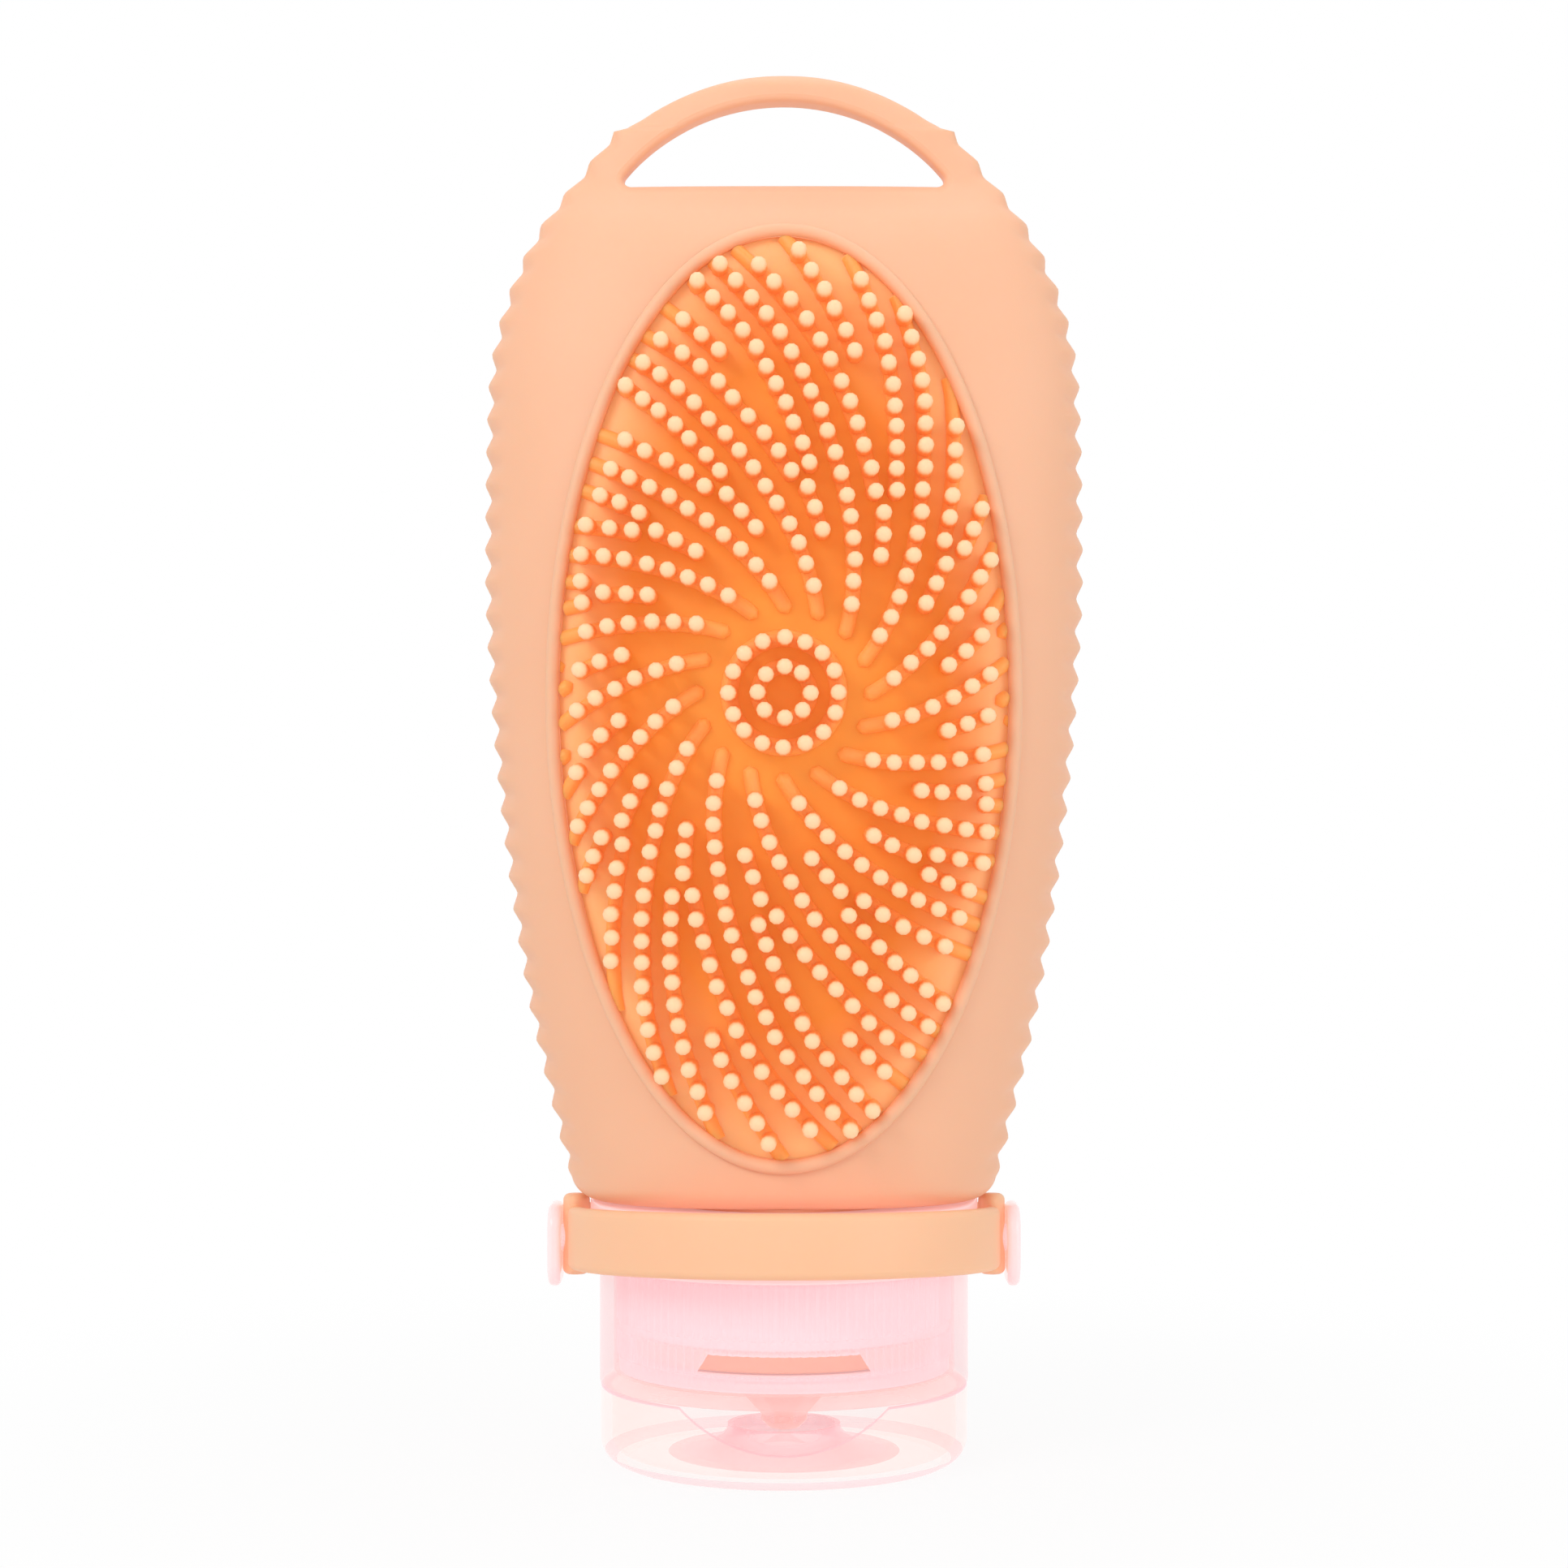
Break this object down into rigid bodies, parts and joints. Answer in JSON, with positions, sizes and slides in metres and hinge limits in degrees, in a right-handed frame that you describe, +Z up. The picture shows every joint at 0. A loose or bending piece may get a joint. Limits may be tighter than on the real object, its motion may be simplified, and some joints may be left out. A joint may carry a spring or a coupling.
{
  "type": "shower brush dispenser bottle",
  "caption": "Soft squeeze bottle with a hanging loop and an oval face of swirling bristles, standing on a screw cap with a flip lid, with a strap buttoned round its collar.",
  "frame": {"origin": "centre of the lid's flat end face, on the axis of the neck and cap", "axes": "+Z up through the cap and the bottle to the hanging loop, -Y the side that the bristles face, X across the width"},
  "size_m": [0.0696, 0.0482, 0.1617],
  "materials": {
    "body_silicone": "satin",
    "bristle_silicone": "satin",
    "strap_silicone": "satin",
    "seal_silicone": "satin",
    "insert_plastic": "gloss",
    "collar_plastic": "gloss",
    "cap_plastic": "gloss",
    "lid_plastic": "gloss"
  },
  "bodies": {
    "bottle": {"bottle_body": "body_silicone", "brush_pad": "bristle_silicone", "neck_insert": "insert_plastic", "collar": "collar_plastic"},
    "strap": {"strap": "strap_silicone"},
    "seal": {"seal_washer": "seal_silicone"},
    "cap": {"cap_base": "cap_plastic", "thread_sleeve": "cap_plastic", "slit_valve": "seal_silicone", "valve_retainer": "insert_plastic", "hinge_web": "cap_plastic"},
    "lid": {"flip_lid": "lid_plastic"}
  },
  "joints": [
    {"name": "strap_swing", "type": "hinge", "parent": "bottle", "child": "strap", "pos_m": [0, 0, 0.0259], "axis": [1, 0, 0], "range_deg": [-5, 12]},
    {"name": "cap_lift", "type": "slide", "parent": "bottle", "child": "seal", "axis": [0, 0, -1], "range_m": [0, 0.006]},
    {"name": "cap_turn", "type": "hinge", "parent": "seal", "child": "cap", "pos_m": [0, 0, 0.0093], "axis": [0, 0, -1], "range_deg": [0, 540]},
    {"name": "lid_hinge", "type": "hinge", "parent": "cap", "child": "lid", "pos_m": [0, 0.0226, 0.00915], "axis": [1, 0, 0], "range_deg": [0, 170]}
  ],
  "couplings": [
    {"joint": "cap_lift", "follows": "cap_turn", "m_per_rad": 0.00063662}
  ]
}
